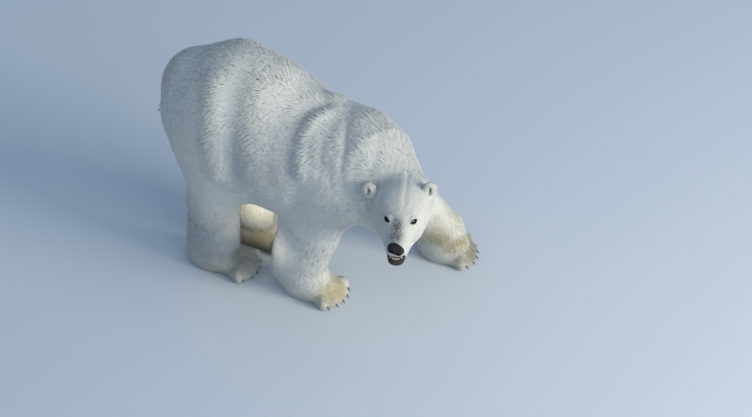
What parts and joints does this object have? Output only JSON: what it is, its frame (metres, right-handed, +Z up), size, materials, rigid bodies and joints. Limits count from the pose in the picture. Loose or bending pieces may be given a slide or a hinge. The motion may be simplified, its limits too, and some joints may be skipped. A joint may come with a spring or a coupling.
{
  "type": "polar bear",
  "caption": "Life-size adult polar bear standing on all four paws with its head turned to its right, mouth slightly open; a still display animal.",
  "frame": {"origin": "on the floor under the middle of the bear's bounding box", "axes": "+X from rump to breast, +Y to the bear's left, +Z up"},
  "size_m": [1.6914, 1.1104, 1.3569],
  "materials": {
    "white_fur": "dense soft off-white fur over the body, short on the face",
    "stained_fur": "the same fur, stained yellow on the paws",
    "black_skin": "bare black skin, pebbled and slightly moist",
    "claw_horn": "smooth dark horn",
    "eye": "wet, near-black brown"
  },
  "bodies": {
    "root": {"chest": "white_fur", "head": "white_fur", "left_ear": "white_fur", "left_eye": "eye", "left_fore_claw_1": "claw_horn", "left_fore_claw_2": "claw_horn", "left_fore_claw_3": "claw_horn", "left_fore_claw_4": "claw_horn", "left_fore_claw_5": "claw_horn", "left_fore_paw": "stained_fur", "left_forearm": "white_fur", "left_hind_claw_1": "claw_horn", "left_hind_claw_2": "claw_horn", "left_hind_claw_3": "claw_horn", "left_hind_claw_4": "claw_horn", "left_hind_claw_5": "claw_horn", "left_hind_paw": "stained_fur", "left_shank": "white_fur", "left_thigh": "white_fur", "left_upper_arm": "white_fur", "loins": "white_fur", "lower_jaw": "white_fur", "lower_lip": "black_skin", "neck": "white_fur", "nose": "black_skin", "right_ear": "white_fur", "right_eye": "eye", "right_fore_claw_1": "claw_horn", "right_fore_claw_2": "claw_horn", "right_fore_claw_3": "claw_horn", "right_fore_claw_4": "claw_horn", "right_fore_claw_5": "claw_horn", "right_fore_paw": "stained_fur", "right_forearm": "white_fur", "right_hind_claw_1": "claw_horn", "right_hind_claw_2": "claw_horn", "right_hind_claw_3": "claw_horn", "right_hind_claw_4": "claw_horn", "right_hind_claw_5": "claw_horn", "right_hind_paw": "stained_fur", "right_shank": "white_fur", "right_thigh": "white_fur", "right_upper_arm": "white_fur", "rump": "white_fur", "tail": "white_fur"}
  },
  "joints": []
}
